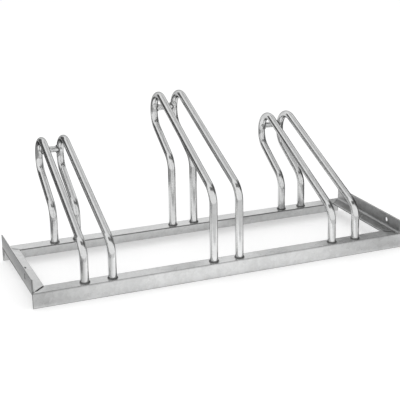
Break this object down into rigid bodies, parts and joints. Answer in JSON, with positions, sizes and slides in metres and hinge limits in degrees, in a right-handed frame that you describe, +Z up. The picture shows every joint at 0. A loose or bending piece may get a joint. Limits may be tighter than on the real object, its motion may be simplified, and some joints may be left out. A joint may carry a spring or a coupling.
{
  "type": "floor bike rack",
  "caption": "Low steel floor rack: an angle-iron frame carrying pairs of bent tube hoops, low at the outside and high in the middle, each holding a bicycle wheel.",
  "frame": {"origin": "on the floor, under the middle of the rack's overall length and depth", "axes": "+X along the rails to the right as seen by someone pushing a bicycle in, +Y from the front rail to the back, +Z up"},
  "size_m": [1.05, 0.4887, 0.4143],
  "materials": {
    "galvanised_angle": "hot-dip galvanised rolled angle, matt to satin, with soft zinc spangle",
    "galvanised_tube": "hot-dip galvanised tube, bright satin zinc",
    "galvanised_weld": "hot-dip galvanised weld bead, rippled and slightly duller"
  },
  "bodies": {
    "root": {"front_rail": "galvanised_angle", "rear_rail": "galvanised_angle", "left_side_angle": "galvanised_angle", "right_side_angle": "galvanised_angle", "front_left_corner_weld": "galvanised_weld", "front_right_corner_weld": "galvanised_weld", "rear_left_corner_weld": "galvanised_weld", "rear_right_corner_weld": "galvanised_weld", "left_stand_left_hoop": "galvanised_tube", "left_stand_right_hoop": "galvanised_tube", "left_stand_cross_tube": "galvanised_tube", "left_stand_cross_tube_welds": "galvanised_weld", "left_stand_foot_welds": "galvanised_weld", "middle_stand_left_hoop": "galvanised_tube", "middle_stand_right_hoop": "galvanised_tube", "middle_stand_cross_tube": "galvanised_tube", "middle_stand_cross_tube_welds": "galvanised_weld", "middle_stand_foot_welds": "galvanised_weld", "right_stand_left_hoop": "galvanised_tube", "right_stand_right_hoop": "galvanised_tube", "right_stand_cross_tube": "galvanised_tube", "right_stand_cross_tube_welds": "galvanised_weld", "right_stand_foot_welds": "galvanised_weld"}
  },
  "joints": []
}
